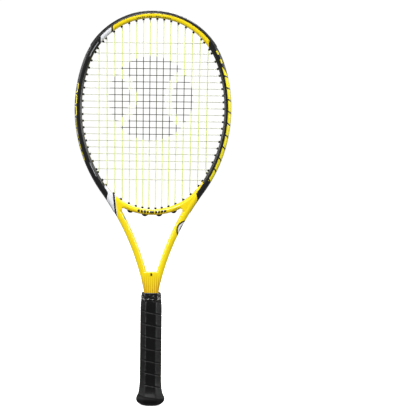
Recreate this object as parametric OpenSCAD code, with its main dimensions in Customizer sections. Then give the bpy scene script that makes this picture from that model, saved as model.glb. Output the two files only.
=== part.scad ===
// Tennis racket, strung, in millimetres.
// X runs across the head, Y through the beam (the front face looks along -Y) and Z along the racket.
// The origin is the middle of the butt end. The right half is drawn and mirrored wherever it can be.

/* [Racket] */
// Length from the butt end to the top of the bumper
overall_len = 685.8; // [684:0.1:688]
// Half the width of the hoop, outside to outside
head_half_w = 135.2; // [134.8:0.1:135.6]
// Radius of the crown's outer arc
crown_r = 128; // [127.6:0.1:128.4]
// Depth of the tube, front to back
beam = 22; // [21.6:0.1:22.4]
// Width of the tube in the plane of the head
tube_w = 12; // [11.9:0.1:12.1]
// Wall of the carbon tube
wall = 1.6; // [1.4:0.1:1.7]

/* [Bridge] */
// Radius of the bridge's lower face
bridge_r = 111.2; // [111:0.1:111.4]
// Height of the bridge's lower face at the middle
bridge_z = 332.5; // [332:0.1:333]
// Width of the bridge in the plane of the head
bridge_w = 9.5; // [9.3:0.1:9.7]
// Depth of the bridge, front to back
bridge_d = 20; // [19.6:0.1:20.4]

/* [Strings] */
// Main strings on each side of the middle
mains_half = 8; // [8]
// Cross strings
crosses = 20; // [20]
// Radius of the main string
main_string_r = 0.64; // [0.6:0.01:0.66]
// Radius of the cross string
cross_string_r = 0.58; // [0.52:0.01:0.6]
// How far a cross string swings to each side of the mains
weave = 1.42; // [1.38:0.01:1.5]

/* [Grommets] */
// Outer radius of a grommet barrel
barrel_r = 2; // [1.9:0.05:2.05]
// Bore radius of a grommet barrel
bore_r = 0.98; // [0.94:0.01:1]
// How far a barrel stands out inside the head
barrel_tip = 2.8; // [2.6:0.1:2.9]
// Width of the groove around the hoop
groove_w = 8.4; // [8.2:0.1:8.6]
// Depth of the groove around the hoop
groove_d = 2.2; // [2.1:0.1:2.3]
// Thickness of the bumper outside the crown
bumper_t = 1.3; // [1.2:0.1:1.4]

/* [Handle] */
// Half width of the grip along X
grip_half_w = 18.9; // [18.7:0.1:19.1]
// Half depth of the grip along Y
grip_half_d = 14.5; // [14.3:0.1:14.7]
// Thickness of the base grip
grip_t = 1.9; // [1.8:0.1:2]
// Height of the top of the grip
grip_top_z = 183.6; // [183:0.1:184]
// Height of the top of the rubber collar
collar_top_z = 197.4; // [197:0.1:198]
// Radius of the door in the butt cap
door_r = 8.5; // [8:0.1:9]

/* [Hidden] */

yellow = [1, 0.83, 0.02];
nylon = [0.05, 0.05, 0.05];

fit = 0.1;       // gap left between neighbouring pieces
seam = 0.02;     // hairline between one run of a swept part and the next
seam_a = 0.012;  // the same as an angle
arc_fn = 180;    // sides of a full turn of the hoop's arcs
small_fn = 32;

// The outline of the hoop and shafts is a chain of tangent arcs. An angle t is that of the
// outward normal, from +Z towards +X: 0 at the top of the crown and 90 at its widest.
crown_a = 70;    // the crown's arc meets the side's arc
side_a = 125.9;  // the side's arc meets the shaft's arc, which bends the other way
shaft_a = 102;   // the shaft's arc meets the neck's arc
shaft_r = 442;
neck_r = 60;

function n(t) = [sin(t), cos(t)];
crown_c = [0, overall_len - bumper_t - crown_r];
side_r = (head_half_w - crown_r * sin(crown_a)) / (1 - sin(crown_a));
side_c = crown_c + (crown_r - side_r) * n(crown_a);
shaft_c = side_c + (side_r + shaft_r) * n(side_a);
neck_c = shaft_c + (neck_r - shaft_r) * n(shaft_a);
neck_x = neck_c.x - neck_r;
neck_z = neck_c.y;
bridge_c = [0, bridge_z + bridge_r];

bridge_end_a = 50.8;       // half the arc of the bridge
groove_tail_a = 120.5;     // the groove runs this far down the shaft
bumper_end_a = 58.2;       // half the arc of the bumper
handle_beam = 16.6;        // depth of the tubes inside the handle
tube_end_z = 6.4;

// Grommet strips: [u, v] is [depth below the outline, distance from the middle plane]
strip_floor = groove_d - fit;
strip_top = groove_d - 0.95;
rail_in = 2.5;
rail_out = groove_w / 2 - fit;
rail_proud = 0.3;
bumper_edge = 3.4;         // how far down the tube's sides the bumper reaches

// Strings: a string leaves its barrel, bends, and lies in the strip's channel at depth lay
bend_gap = 0.8;
bend_d = tube_w + barrel_tip + bend_gap;
lay = strip_top - main_string_r - 0.06;
link_y = 1.5;              // the mains' outside links keep to +Y and the crosses' to -Y

// ---- where the strings go ----

// A hole is [arc, t, bend depth]; arc 0 is the hoop, 1 the shaft and 2 the bridge.
function spot(arc, t, d) =
    arc == 2 ? bridge_c + (bridge_r - d) * n(t) :
    arc == 1 ? shaft_c - (shaft_r + d) * n(t) :
    t > crown_a ? side_c + (side_r - d) * n(t) : crown_c + (crown_r - d) * n(t);
function heading(v) = atan2(v.x, v.y);

// Mains fan out a little, and their spacing grows away from the middle.
function main_top_x(i) = 5.9 + 11.4 * i + 0.17 * i * i;
function main_low_x(i) = 5.7 + 10.4 * i + 0.28 * i * i;
function main_top(i) = [0, asin(main_top_x(i) / (crown_r - bend_d)), bend_d];
bridge_bend = bridge_w + barrel_tip + bend_gap;
function bridge_t(x) = 180 - asin(x / (bridge_r - bridge_bend));
// The four inner mains go through the bridge. The next two go through the bridge's root and
// the shaft, and the last two through the hoop.
function main_low(i) =
    let (x = main_low_x(i), b = spot(2, bridge_t(x), bridge_bend))
    i < 4 ? [2, bridge_t(x), bridge_bend] :
    i < 6 ? [1, heading(shaft_c - b), norm(shaft_c - b) - shaft_r] :
    i < 7 ? [0, heading(b - side_c), side_r - norm(b - side_c)] :
    [0, 180 - asin((x - side_c.x) / (side_r - bend_d)), bend_d];

// Crosses are evenly spaced in the middle and open out towards the crown and the throat.
bed_mid_z = 511.4;
function cross_z(j) =
    let (s = (crosses - 1) / 2 - j, q = abs(s))
    bed_mid_z + sign(s) * (11.3 * q + 10.85 * pow(q / 9.5, 9));
crown_side_z = spot(0, crown_a, bend_d).y;
function cross_hole(j) =
    cross_z(j) > crown_side_z ? [0, acos((cross_z(j) - crown_c.y) / (crown_r - bend_d)), bend_d] :
    [0, acos((cross_z(j) - side_c.y) / (side_r - bend_d)), bend_d];

function hole_spot(h, d) = spot(h[0], h[1], d);
function bend_spot(h) = hole_spot(h, h[2]);
function at3(p, side, y = 0) = [side * p.x, y, p.y];
function link(a, b, side, y) =
    [for (f = [0.25, 0.5, 0.75]) at3(spot(a[0], a[1] + f * (b[1] - a[1]), lay), side, y)];

// One length of string makes all the mains: down, across outside the frame, up, and so on.
function main_side(k) = k < mains_half ? -1 : 1;
function main_index(k) = k < mains_half ? mains_half - 1 - k : k - mains_half;
function main_run(k) =
    let (s = main_side(k), i = main_index(k), top = main_top(i), low = main_low(i),
         down = [at3(hole_spot(top, lay), s), at3(bend_spot(top), s),
                 at3(bend_spot(low), s), at3(hole_spot(low, lay), s)])
    k % 2 == 0 ? down : [for (m = [3:-1:0]) down[m]];
function main_link(k) =
    let (s = main_side(k), i = main_index(k), next = main_index(k + 1))
    k == mains_half - 1 ?
        [for (f = [-0.5, 0, 0.5]) at3(spot(0, f * main_top(0)[1], lay), 1, link_y)] :
    k % 2 == 0 ? link(main_low(i), main_low(next), s, link_y) :
    link(main_top(i), main_top(next), s, link_y);
main_count = 2 * mains_half;
main_path = [for (k = [0:main_count - 1]) each concat(main_run(k), k < main_count - 1 ? main_link(k) : [])];

// The crosses go over and under the mains they meet.
function main_x_at(k, z) =
    let (i = main_index(k), a = bend_spot(main_top(i)), b = bend_spot(main_low(i)))
    (z < a.y - 1 && z > b.y + 1) ? main_side(k) * (b.x + (a.x - b.x) * (z - b.y) / (a.y - b.y)) : undef;
function cross_run(j) =
    let (h = cross_hole(j), z = cross_z(j),
         met = [for (k = [0:main_count - 1]) let (x = main_x_at(k, z))
                if (!is_undef(x)) [x, (j + k) % 2 == 0 ? weave : -weave, z]],
         run = concat([at3(hole_spot(h, lay), -1), at3(bend_spot(h), -1)], met,
                      [at3(bend_spot(h), 1), at3(hole_spot(h, lay), 1)]))
    j % 2 == 0 ? run : [for (m = [len(run) - 1:-1:0]) run[m]];
function cross_link(j) = link(cross_hole(j), cross_hole(j + 1), j % 2 == 0 ? 1 : -1, -link_y);
cross_path = [for (j = [0:crosses - 1]) each concat(cross_run(j), j < crosses - 1 ? cross_link(j) : [])];

// ---- helpers ----

function unit(v) = v / norm(v);

// A round cord along a path that bends mostly in the XZ plane, mitred at each point.
module cord(path, r, sides) {
    last = len(path) - 1;
    rings = [for (k = [0:last])
        let (into = unit(path[max(k, 1)] - path[max(k, 1) - 1]),
             out = unit(path[min(k, last - 1) + 1] - path[min(k, last - 1)]),
             t = unit(into + out), u = unit(cross(t, [0, 1, 0])), v = cross(u, t),
             mitre = 1 / max(0.6, into * t))
        for (m = [0:sides - 1])
            path[k] + r * (cos(360 * m / sides) * mitre * u + sin(360 * m / sides) * v)];
    sleeve = [for (k = [0:last - 1]) for (m = [0:sides - 1])
        let (a = k * sides + m, b = k * sides + (m + 1) % sides)
        each [[a, b, b + sides], [a, b + sides, a + sides]]];
    caps = [[for (m = [sides - 1:-1:0]) m], [for (m = [0:sides - 1]) last * sides + m]];
    polyhedron(rings, concat(sleeve, caps));
}

// A solid through rings of equal count, each facing up, closed by its first and last ring.
module loft(rings, ring_shape = false) {
    count = len(rings[0]);
    last = len(rings) - 1;
    sleeve = [for (k = [0:ring_shape ? last : last - 1]) for (m = [0:count - 1])
        let (a = k * count + m, b = k * count + (m + 1) % count,
             up = ((k + 1) % (last + 1)) * count)
        each [[a, up + m, up + (m + 1) % count], [a, up + (m + 1) % count, b]]];
    caps = ring_shape ? [] :
        [[for (m = [0:count - 1]) m], [for (m = [count - 1:-1:0]) last * count + m]];
    polyhedron([for (r = rings) each r], concat(sleeve, caps));
}

// An eight-sided outline: half width a, half depth b, half flats fa (front) and fb (side).
function octagon(a, b, fa, fb) =
    [[a, -fb], [a, fb], [fa, b], [-fa, b], [-a, fb], [-a, -fb], [-fa, -b], [fa, -b]];
// The same with its corners cut by c, at height z.
function soft_octagon(a, b, fa, fb, c, z) =
    let (o = octagon(a, b, fa, fb))
    [for (k = [0:7])
        let (p = o[k], back = unit(o[(k + 7) % 8] - p), on = unit(o[(k + 1) % 8] - p))
        each [concat(p + c * back, z), concat(p + c * on, z)]];

module both() {
    children();
    mirror([1, 0, 0]) children();
}

module arc(c, t0, t1)
    translate([c.x, 0, c.y]) rotate([90, 0, 0]) rotate([0, 0, 90 - t1])
        rotate_extrude(angle = t1 - t0, $fn = arc_fn) children();

// Each run sweeps a section drawn in [u, v], with u = 0 on the outer outline.
module crown_run(t0, t1)
    arc(crown_c, t0, t1) translate([crown_r, 0]) mirror([1, 0]) children();
module side_run(t0, t1)
    arc(side_c, t0, t1) translate([side_r, 0]) mirror([1, 0]) children();
module shaft_run(t0, t1)
    arc(shaft_c, t0 + 180, t1 + 180) translate([shaft_r, 0]) children();
module neck_run()
    arc(neck_c, 270, shaft_a + 180 - seam_a) translate([neck_r, 0]) children();
module handle_run(z0, z1)
    translate([neck_x, 0, z0]) linear_extrude(z1 - z0) mirror([1, 0]) children();
module bridge_run(half_a)
    arc(bridge_c, 180 - half_a, 180 + half_a) translate([bridge_r, 0]) mirror([1, 0]) children();

// Straight flanks with round ends, from depth u0 to u1.
module stadium(u0, u1, d) {
    w = u1 - u0;
    translate([u0 + w / 2, 0]) {
        square([w, d - w], center = true);
        for (s = [-1, 1]) translate([0, s * (d - w) / 2]) circle(d = w, $fn = 48);
    }
}

// The coordinate system of a hole: +Z runs inwards from the outline.
module at_hole(h, side) {
    p = hole_spot(h, 0);
    translate([side * p.x, 0, p.y]) rotate([0, side * (h[1] + 180), 0]) children();
}
module drill(h, side)
    at_hole(h, side) translate([0, 0, -1])
        cylinder(h = h[2] + 1.5, r = barrel_r + fit, $fn = small_fn);
module barrel(h, side)
    at_hole(h, side) translate([0, 0, strip_top + 0.2])
        cylinder(h = h[2] - bend_gap - strip_top - 0.2, r = barrel_r, $fn = small_fn);
module bore(h, side)
    at_hole(h, side) translate([0, 0, strip_top - 0.5])
        cylinder(h = h[2], r = bore_r, $fn = small_fn);

top_holes = [for (i = [0:mains_half - 1]) main_top(i)];
low_holes = [for (i = [0:mains_half - 1]) main_low(i)];
cross_holes = [for (j = [0:crosses - 1]) cross_hole(j)];
bumper_holes = [for (h = concat(top_holes, cross_holes)) if (h[1] < bumper_end_a) h];
strip_holes = [for (h = concat(cross_holes, low_holes)) if (h[0] < 2 && h[1] > bumper_end_a) h];
throat_holes = [for (h = low_holes) if (h[0] == 2) h];
root_holes = [for (i = [4, 5]) main_low(i)];

// ---- frame ----

module tube_section(grooved)
    difference() {
        stadium(0, tube_w, beam);
        stadium(grooved ? groove_d + wall : wall, tube_w - wall, beam - 2 * wall);
        if (grooved) translate([-1, -groove_w / 2]) square([groove_d + 1, groove_w]);
    }
// A tie inside the inner wall joins each run to the next across the hairline between them.
module tube_tie()
    translate([tube_w - wall + 0.4, -4]) square([wall - 0.8, 8]);
module handle_tube_section()
    difference() {
        stadium(0, tube_w, handle_beam);
        stadium(wall, tube_w - wall, handle_beam - 2 * wall);
    }

module frame_hairpin()
    color(yellow) difference() {
        union() {
            crown_run(-crown_a + seam_a, crown_a - seam_a) tube_section(true);
            both() {
                side_run(crown_a, side_a - seam_a) tube_section(true);
                shaft_run(groove_tail_a, side_a) tube_section(true);
                shaft_run(shaft_a, groove_tail_a - seam_a) tube_section(false);
                neck_run() tube_section(false);
                handle_run(tube_end_z, neck_z - seam) handle_tube_section();
                side_run(crown_a - 0.4, crown_a + 0.4) tube_tie();
                side_run(side_a - 0.3, side_a + 0.3) tube_tie();
                shaft_run(groove_tail_a - 0.15, groove_tail_a + 0.15) tube_tie();
                shaft_run(shaft_a - 0.15, shaft_a + 0.15) tube_tie();
                handle_run(neck_z - 1, neck_z + 1) tube_tie();
            }
        }
        for (h = concat(top_holes, cross_holes, strip_holes), side = [-1, 1]) drill(h, side);
    }

// The solid outer shape of the tubes below the hoop, with room for fit.
module shaft_envelope(gap)
    both() {
        side_run(crown_a + 30, side_a) stadium(0, tube_w + gap, beam + 2 * gap);
        shaft_run(shaft_a, side_a) stadium(0, tube_w + gap, beam + 2 * gap);
        neck_run() stadium(0, tube_w + gap, beam + 2 * gap);
    }

bridge_hollow_u = groove_d + wall;
module throat_bridge()
    color(yellow) difference() {
        bridge_run(bridge_end_a) difference() {
            stadium(0, bridge_w, bridge_d);
            stadium(bridge_hollow_u, bridge_w - wall, bridge_d - 2 * wall);
            translate([-1, -groove_w / 2]) square([groove_d + 1, groove_w]);
        }
        shaft_envelope(0.05);
        for (h = concat(throat_holes, root_holes), side = [-1, 1]) drill(h, side);
    }

module bridge_foam_core()
    color("ivory") difference() {
        bridge_run(29) stadium(bridge_hollow_u + fit, bridge_w - wall - fit, bridge_d - 2 * wall - 2 * fit);
        for (h = throat_holes, side = [-1, 1]) drill(h, side);
    }

gusset_top_z = 233;
gusset_low_z = neck_z + 1;
gusset_half_d = 6;
module throat_gusset()
    color(yellow) translate([0, gusset_half_d, 0]) rotate([90, 0, 0])
        linear_extrude(2 * gusset_half_d) difference() {
            translate([-tube_w, gusset_low_z]) square([2 * tube_w, gusset_top_z - gusset_low_z]);
            for (side = [-1, 1]) {
                translate([side * shaft_c.x, shaft_c.y]) circle(r = shaft_r + tube_w + fit / 2, $fn = 720);
                translate([side * neck_c.x, neck_c.y]) circle(r = neck_r + tube_w + fit / 2, $fn = 180);
            }
        }

// ---- bumper and grommet strips ----

module strip_section() {
    translate([strip_top, -rail_out]) square([strip_floor - strip_top, 2 * rail_out]);
    for (s = [-1, 1])
        translate([-rail_proud, s > 0 ? rail_in : -rail_out])
            square([strip_floor + rail_proud, rail_out - rail_in]);
}
module strip_tie()
    translate([strip_top + 0.2, -rail_in]) square([strip_floor - strip_top - 0.4, 2 * rail_in]);
module bumper_section() {
    translate([strip_top, -rail_out]) square([strip_floor - strip_top, 2 * rail_out]);
    difference() {
        intersection() {
            stadium(-bumper_t, tube_w + bumper_t, beam + 2 * bumper_t);
            translate([-bumper_t - 1, -beam]) square([bumper_t + 1 + bumper_edge, 2 * beam]);
        }
        difference() {
            stadium(-0.05, tube_w + 0.05, beam + fit);
            translate([-1, -rail_out]) square([strip_floor + 1, 2 * rail_out]);
        }
        translate([-bumper_t - 1, -rail_in]) square([bumper_t + 1 + strip_top, 2 * rail_in]);
    }
}

module bumper_guard()
    color(nylon) difference() {
        union() {
            crown_run(-bumper_end_a, bumper_end_a) bumper_section();
            for (h = bumper_holes, side = [-1, 1]) barrel(h, side);
        }
        for (h = bumper_holes, side = [-1, 1]) bore(h, side);
    }

module grommet_strip(side)
    color(nylon) difference() {
        union() {
            mirror([side > 0 ? 0 : 1, 0, 0]) {
                crown_run(bumper_end_a + 0.3, crown_a - seam_a) strip_section();
                side_run(crown_a, side_a - seam_a) strip_section();
                shaft_run(groove_tail_a + 0.1, side_a) strip_section();
                side_run(crown_a - 0.4, crown_a + 0.4) strip_tie();
                side_run(side_a - 0.3, side_a + 0.3) strip_tie();
            }
            for (h = strip_holes) barrel(h, side);
        }
        for (h = strip_holes) bore(h, side);
    }
module grommet_strip_left() grommet_strip(-1);
module grommet_strip_right() grommet_strip(1);

// Waves in the throat strip's rails guard the string where it passes outside the bridge.
wave_r = 6;
wave_h = 3.5;
wave_inset = 0.15;
throat_strip_a = 25.4;
module throat_waves()
    for (pair = [[0, 1], [2, 3]], side = [-1, 1], s = [-1, 1]) {
        mid = (main_low(pair[0])[1] + main_low(pair[1])[1]) / 2;
        p = spot(2, mid, wave_r - wave_h);
        translate([side * p.x, s > 0 ? rail_out - wave_inset : -rail_in - wave_inset, p.y])
            rotate([90, 0, 0])
                cylinder(h = rail_out - rail_in - 2 * wave_inset, r = wave_r, $fn = 48);
    }
module grommet_strip_throat()
    color(nylon) difference() {
        union() {
            bridge_run(throat_strip_a) strip_section();
            difference() {
                throat_waves();
                translate([bridge_c.x, beam, bridge_c.y]) rotate([90, 0, 0])
                    cylinder(h = 2 * beam, r = bridge_r - strip_floor + 0.4, $fn = arc_fn);
            }
            for (h = throat_holes, side = [-1, 1]) barrel(h, side);
        }
        for (h = throat_holes, side = [-1, 1]) bore(h, side);
    }

// ---- strings ----

module main_string() color([0.72, 0.85, 0.25]) cord(main_path, main_string_r, 8);
module cross_string() color([0.85, 0.85, 0.82]) cord(cross_path, cross_string_r, 6);

// ---- inertia capsules in the hoop ----

capsule_r = 2.7;
capsule_half = 7.7;
capsule_wall = 0.6;
lid_t = 1;
charge_r = 1.9;
charge_half = 4.2;
// Each capsule stands between two neighbouring grommet barrels, in the middle of the hollow.
capsule_u = (groove_d + wall + tube_w - wall) / 2;
capsule_top_t = (main_top(5)[1] + main_top(6)[1]) / 2;
capsule_low_t = (cross_hole(17)[1] + cross_hole(18)[1]) / 2;

module at_capsule(t, side) {
    p = spot(0, t, capsule_u);
    translate([side * p.x, 0, p.y]) rotate([90, 0, 0]) children();
}
module all_capsules()
    for (t = [capsule_top_t, capsule_low_t], side = [-1, 1]) at_capsule(t, side) children();

module capsule_cups()
    color("silver") all_capsules() difference() {
        translate([0, 0, -capsule_half]) cylinder(h = 2 * capsule_half - lid_t, r = capsule_r, $fn = 48);
        translate([0, 0, -capsule_half + capsule_wall])
            cylinder(h = 2 * capsule_half, r = capsule_r - capsule_wall, $fn = 48);
    }
module capsule_lids()
    color("gray") all_capsules()
        translate([0, 0, capsule_half - lid_t + 0.02]) cylinder(h = lid_t, r = capsule_r, $fn = 48);
module bead_charge(t, side)
    color("dimgray") at_capsule(t, side)
        translate([0, 0, -charge_half]) cylinder(h = 2 * charge_half, r = charge_r, $fn = 48);
module bead_charge_top_left() bead_charge(capsule_top_t, -1);
module bead_charge_top_right() bead_charge(capsule_top_t, 1);
module bead_charge_low_left() bead_charge(capsule_low_t, -1);
module bead_charge_low_right() bead_charge(capsule_low_t, 1);

// ---- handle ----

flat_front = 8.25;   // half the grip's front flat
flat_side = 4;       // half the grip's side flat
slope = tan(22.5);   // a flat grows by this much for each millimetre that its outline grows
pallet_w = grip_half_w - grip_t;
pallet_d = grip_half_d - grip_t;
pallet_step = 1.3;   // the pallets are thinner inside the butt cap
spigot_step = 1.8;   // and thinner again inside the collar
cap_rim_z = 4.3;
cap_skirt_z = 42;
spigot_top_z = 188.8;

// The pallets' octagon grown by e, its corners cut so that they clear the leather's.
pallet_cut = 0.9;
function pallet_outline(e) =
    [for (p = soft_octagon(pallet_w + e, pallet_d + e, flat_front + slope * (e - grip_t),
        flat_side + slope * (e - grip_t), pallet_cut, 0)) [p.x, p.y]];
module pallet_block(e, z0, z1)
    translate([0, 0, z0]) linear_extrude(z1 - z0) polygon(pallet_outline(e));

module staple_holes(gap)
    for (side = [-1, 1], y = [-2.2, 2.2]) translate([side * 16.9, y, 29]) {
        for (leg = [-1, 1])
            translate([-side * 1.4, 0, leg * 4]) cube([3.4 + gap, 0.6 + gap, 0.9 + gap], center = true);
        cube([0.6 + gap, 0.6 + gap, 8.9 + gap], center = true);
    }

module pallet(front)
    color("tan") difference() {
        union() {
            pallet_block(-pallet_step, tube_end_z, cap_skirt_z);
            pallet_block(0, cap_skirt_z, grip_top_z);
            pallet_block(-spigot_step, grip_top_z, spigot_top_z);
        }
        both() handle_run(0, 200) stadium(-fit, tube_w + fit, handle_beam + 2 * fit);
        translate([-neck_x, -3, 0]) cube([2 * neck_x, 6, 200]);
        translate([-50, front ? -fit / 2 : -50 + fit / 2, 0]) cube([100, 50, 200]);
        staple_holes(0.2);
    }
module pallet_front() pallet(true);
module pallet_back() pallet(false);

module tube_end_plugs()
    color("dimgray") both() handle_run(tube_end_z, tube_end_z + 10)
        stadium(wall + fit, tube_w - wall - fit, handle_beam - 2 * (wall + fit));
module balance_slugs()
    color("slategray") both() handle_run(tube_end_z + 12, tube_end_z + 42)
        stadium(wall + 0.3, tube_w - wall - 0.3, handle_beam - 2 * (wall + 1.5));

// How far the grip's outer face stands beyond the straight grip, at each height.
flare = [[cap_rim_z, 1.6], [7, 4.5], [11, 6.1], [16, 5.3], [23, 2.3], [30, 1.2], [37, 0.4], [45, 0],
         [168, -0.1], [grip_top_z, -0.9]];
// The leather lies on the cap's own flare, which is set back by this much.
set_back = [[cap_rim_z, 2.8], [7, 2.3], [11, grip_t], [16, grip_t], [23, grip_t], [30, grip_t],
            [37, grip_t], [45, grip_t], [168, grip_t], [grip_top_z, grip_t]];
function grip_ring(e, z, c) =
    soft_octagon(grip_half_w + e, grip_half_d + e, flat_front + slope * e, flat_side + slope * e, c, z);

module base_grip()
    color([0.06, 0.06, 0.06]) loft(concat(
        [for (f = flare) grip_ring(f[1], f[0], 1.2)],
        [for (k = [len(flare) - 1:-1:0])
            grip_ring(k < 8 ? flare[k][1] - set_back[k][1] : -grip_t + fit, flare[k][0], 0.6)]
        ), ring_shape = true);

module ring_block(e0, e1, z0, z1)
    translate([0, 0, z0]) linear_extrude(z1 - z0) difference() {
        polygon(pallet_outline(e1));
        polygon(pallet_outline(e0));
    }
module finishing_tape()
    color([0.1, 0.1, 0.1])
        ring_block(-spigot_step + 0.03, -spigot_step + 0.35, grip_top_z + 0.3, spigot_top_z);

collar_low_z = grip_top_z + 0.2;
module grip_collar()
    color([0.04, 0.04, 0.04]) loft([
        soft_octagon(17.7, 13.6, 9.7, 6.5, 0.8, collar_low_z),
        soft_octagon(17.7, 13.6, 9.7, 6.5, 0.8, collar_low_z + 1.5),
        soft_octagon(16.8, 13, 9.8, 6.7, 0.8, collar_top_z - 1),
        soft_octagon(16.4, 12.6, 9.8, 6.7, 0.8, collar_top_z),
        soft_octagon(13.5, 11.2, 9.8, 7.8, 0.3, collar_top_z),
        soft_octagon(13.3, 11.2, 9.8, 7.8, 0.3, neck_z - 1),
        soft_octagon(15.7, 11.5, 8.2, 4, 0.3, spigot_top_z + 0.3),
        soft_octagon(15.7, 11.5, 8.2, 4, 0.3, collar_low_z)], ring_shape = true);

module butt_cap()
    color([0.05, 0.05, 0.05]) difference() {
        loft(concat(
            [soft_octagon(11, 9, 6.5, 4, 1.2, 0),
             soft_octagon(17.5, 14, 9, 6.2, 1.2, 2.2),
             grip_ring(flare[0][1], cap_rim_z - 0.1, 1.2)],
            [for (k = [0:7]) grip_ring(flare[k][1] - set_back[k][1] - fit, k == 0 ? cap_rim_z - 0.05 :
                k == 7 ? cap_skirt_z - 0.1 : flare[k][0], 0.6)],
            [soft_octagon(pallet_w - pallet_step + fit, pallet_d - pallet_step + fit,
                flat_front - 1.3, flat_side - 1.3, 0.1, cap_skirt_z - 0.1),
             soft_octagon(pallet_w - pallet_step + fit, pallet_d - pallet_step + fit,
                flat_front - 1.3, flat_side - 1.3, 0.1, tube_end_z - 0.2)]));
        translate([0, 0, -1]) cylinder(h = 2.5, r = door_r + fit, $fn = 64);
        translate([0, 0, -1]) cylinder(h = 10, r = 5.6, $fn = 64);
        staple_holes(0.2);
        for (side = [-1, 1], y = [-2.2, 2.2])
            translate([side * 20, y, 29]) cube([6, 0.8, 9.1], center = true);
    }

module butt_cap_door()
    color([0.8, 0.66, 0.02]) {
        cylinder(h = 1.4, r = door_r, $fn = 64);
        cylinder(h = 5.8, r = 5.5, $fn = 64);
    }

module butt_cap_staples() color("silver") staple_holes(0);

frame_hairpin();
throat_bridge();
bridge_foam_core();
throat_gusset();
bumper_guard();
grommet_strip_left();
grommet_strip_right();
grommet_strip_throat();
main_string();
cross_string();
capsule_cups();
capsule_lids();
bead_charge_top_left();
bead_charge_top_right();
bead_charge_low_left();
bead_charge_low_right();
pallet_front();
pallet_back();
tube_end_plugs();
balance_slugs();
base_grip();
finishing_tape();
grip_collar();
butt_cap();
butt_cap_door();
butt_cap_staples();
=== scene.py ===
"""Looks of a strung tennis racket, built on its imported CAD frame.

X runs across the head, Y through the beam (the front faces -Y) and Z along the racket, in metres.
"""

import math

import bmesh
import bpy
from mathutils import Matrix, Vector


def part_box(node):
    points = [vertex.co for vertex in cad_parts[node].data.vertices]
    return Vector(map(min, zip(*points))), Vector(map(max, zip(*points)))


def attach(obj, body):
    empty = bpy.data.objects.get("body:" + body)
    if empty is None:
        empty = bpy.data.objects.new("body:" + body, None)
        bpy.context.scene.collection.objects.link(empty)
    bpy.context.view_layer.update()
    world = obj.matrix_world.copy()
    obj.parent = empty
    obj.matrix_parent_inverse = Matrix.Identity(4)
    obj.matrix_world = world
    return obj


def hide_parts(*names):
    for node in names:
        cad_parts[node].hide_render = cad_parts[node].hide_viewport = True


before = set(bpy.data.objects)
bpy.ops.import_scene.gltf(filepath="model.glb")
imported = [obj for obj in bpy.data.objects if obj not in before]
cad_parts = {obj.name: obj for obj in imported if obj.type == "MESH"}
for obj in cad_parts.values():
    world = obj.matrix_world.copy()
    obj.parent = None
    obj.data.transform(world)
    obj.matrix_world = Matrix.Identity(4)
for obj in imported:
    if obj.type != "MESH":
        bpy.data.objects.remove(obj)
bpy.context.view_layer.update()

MM = 0.001
ROOT = "racket"


# ------------------------------------------------ the racket's outline

# The outline is a chain of tangent arcs. An angle t is that of the outward normal, in degrees
# from +Z towards +X: 0 at the top of the crown.
CROWN_R, SHAFT_R, NECK_R = 0.128, 0.442, 0.06
CROWN_A, SIDE_A, SHAFT_A, NECK_A = 70.0, 125.9, 102.0, 90.0
TUBE_W, BEAM = 0.012, 0.022
GROOVE_W, GROOVE_D = 0.0084, 0.0022
GROOVE_TAIL_A = 120.5
BRIDGE_R, BRIDGE_W, BRIDGE_BEAM = 0.1112, 0.0095, 0.020
BRIDGE_THIN_A, BRIDGE_END_A = 52.0, 66.0    # degrees from the bridge's middle

tube_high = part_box("frame_hairpin")[1]
bridge_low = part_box("throat_bridge")[0]
collar_low, collar_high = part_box("grip_collar")
door_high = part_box("butt_cap_door")[1]


def normal(t):
    """The unit vector in the plane of the head at angle t."""
    return Vector((math.sin(math.radians(t)), math.cos(math.radians(t))))


crown_c = Vector((0.0, tube_high.z - CROWN_R))
reach = math.sin(math.radians(CROWN_A))
side_r = (tube_high.x - CROWN_R * reach) / (1 - reach)
side_c = crown_c + (CROWN_R - side_r) * normal(CROWN_A)
shaft_c = side_c + (side_r + SHAFT_R) * normal(SIDE_A)
neck_c = shaft_c + (NECK_R - SHAFT_R) * normal(SHAFT_A)
bridge_c = Vector((0.0, bridge_low.z + BRIDGE_R))

CROWN_S = CROWN_R * math.radians(CROWN_A)
SIDE_S = CROWN_S + side_r * math.radians(SIDE_A - CROWN_A)
SHAFT_S = SIDE_S + SHAFT_R * math.radians(SIDE_A - SHAFT_A)


def hoop_s(t):
    """Length along the outline from the top of the crown to angle t, on the crown or the side."""
    if t <= CROWN_A:
        return CROWN_R * math.radians(t)
    return CROWN_S + side_r * math.radians(t - CROWN_A)


def shaft_s(t):
    """The same on the shaft, where the angle turns back."""
    return SIDE_S + SHAFT_R * math.radians(SIDE_A - t)


def spot(part, t, depth=0.0):
    """The point at that depth below the outline of the hoop, the shaft or the bridge."""
    if part == "bridge":
        return bridge_c + (BRIDGE_R - depth) * normal(t)
    if part == "shaft":
        return shaft_c - (SHAFT_R + depth) * normal(t)
    if t > CROWN_A:
        return side_c + (side_r - depth) * normal(t)
    return crown_c + (CROWN_R - depth) * normal(t)


def heading(v):
    """The angle of a direction in the plane of the head, measured as t is."""
    return math.degrees(math.atan2(v.x, v.y))


def span(start, stop, step):
    """Evenly spaced values from start to stop, both included."""
    count = max(1, round(abs(stop - start) / step))
    return [start + (stop - start) * k / count for k in range(count + 1)]


# ------------------------------------------------ meshes

def put_in_scene(name, mesh):
    piece = bpy.data.objects.new(name, mesh)
    bpy.context.scene.collection.objects.link(piece)
    return piece


def smooth(mesh, angle=35.0):
    for face in mesh.polygons:
        face.use_smooth = True
    mesh.set_sharp_from_angle(angle=math.radians(angle))


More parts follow.
